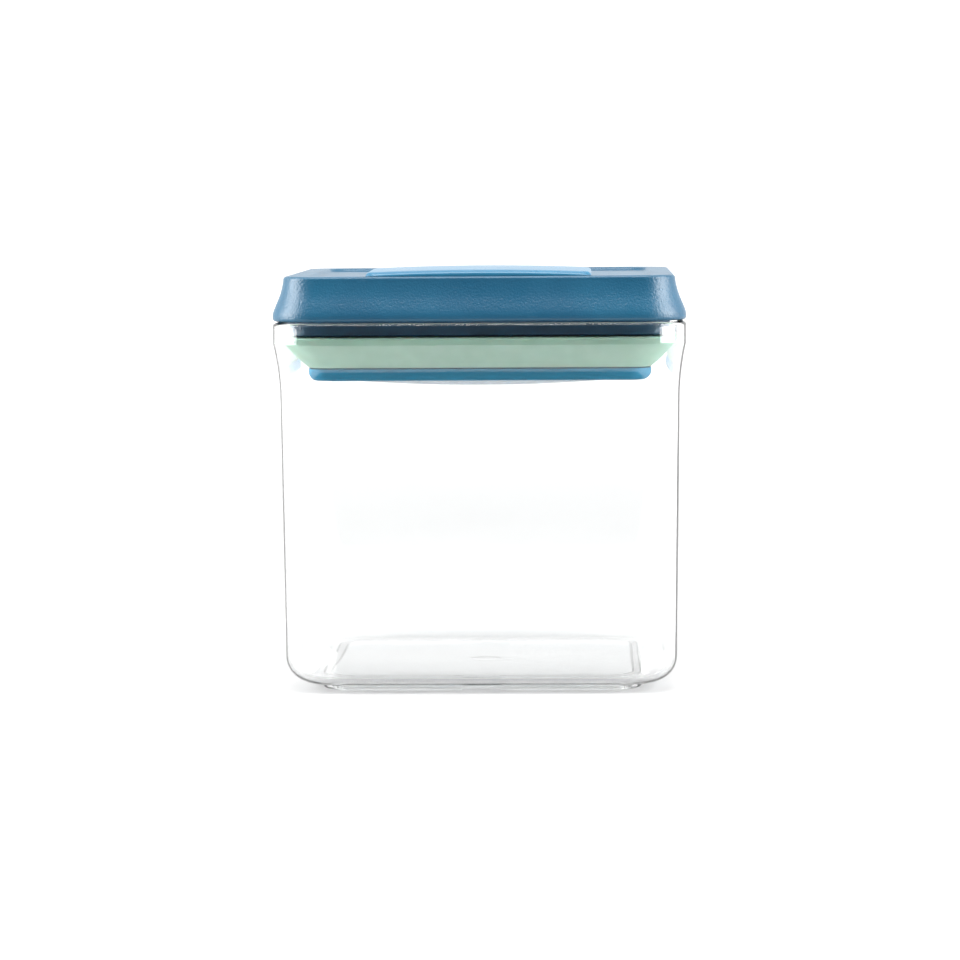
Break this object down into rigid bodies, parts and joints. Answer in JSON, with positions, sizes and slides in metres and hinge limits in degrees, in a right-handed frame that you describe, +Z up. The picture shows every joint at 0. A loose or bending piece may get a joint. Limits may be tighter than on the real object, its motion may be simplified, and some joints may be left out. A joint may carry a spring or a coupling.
{
  "type": "lidded storage canister",
  "caption": "Clear square canister with rounded corners and a blue lid; a flip lever in the lid draws a plate up against a flared green seal.",
  "frame": {"origin": "centre of the jar's foot, on the surface that it stands on", "axes": "+Z up; +X to the right and -Y to the front, where the lever's finger end lies"},
  "size_m": [0.12, 0.12, 0.1234],
  "materials": {
    "clear_plastic": "clear injection-moulded plastic, polished",
    "lid_blue": "blue moulded plastic with a fine satin grain",
    "lever_blue": "blue moulded plastic, smooth satin",
    "liner_blue": "blue moulded plastic, semi-gloss",
    "plate_blue": "blue moulded plastic, semi-gloss",
    "seal_green": "pale green silicone, satin",
    "white_acetal": "natural acetal",
    "steel": "plain stainless steel",
    "black_rubber": "black rubber"
  },
  "bodies": {
    "jar": {"jar": "clear_plastic"},
    "lid": {"lid_cover": "lid_blue", "lid_liner": "liner_blue", "wear_pad": "white_acetal", "seal": "seal_green", "stem_o_ring": "black_rubber", "liner_screw_1": "steel", "liner_screw_2": "steel", "liner_screw_3": "steel", "liner_screw_4": "steel"},
    "clamp": {"clamp_plate": "plate_blue", "clamp_cap": "plate_blue", "draw_stem": "white_acetal", "stem_washer": "steel", "stem_screw": "steel"},
    "lever": {"flip_lever": "lever_blue", "lever_pin": "steel"}
  },
  "joints": [
    {"name": "lid_lift", "type": "slide", "parent": "jar", "child": "lid", "axis": [0, 0, 1], "range_m": [0, 0.06]},
    {"name": "clamp_drop", "type": "slide", "parent": "lid", "child": "clamp", "axis": [0, 0, -1], "range_m": [0, 0.0025], "deforming": ["seal"]},
    {"name": "lever_flip", "type": "hinge", "parent": "clamp", "child": "lever", "pos_m": [0, 0, 0.1175], "axis": [-1, 0, 0], "range_deg": [0, 90]}
  ],
  "couplings": [
    {"joint": "clamp_drop", "follows": "lever_flip", "m_per_rad": 0.0015915}
  ]
}
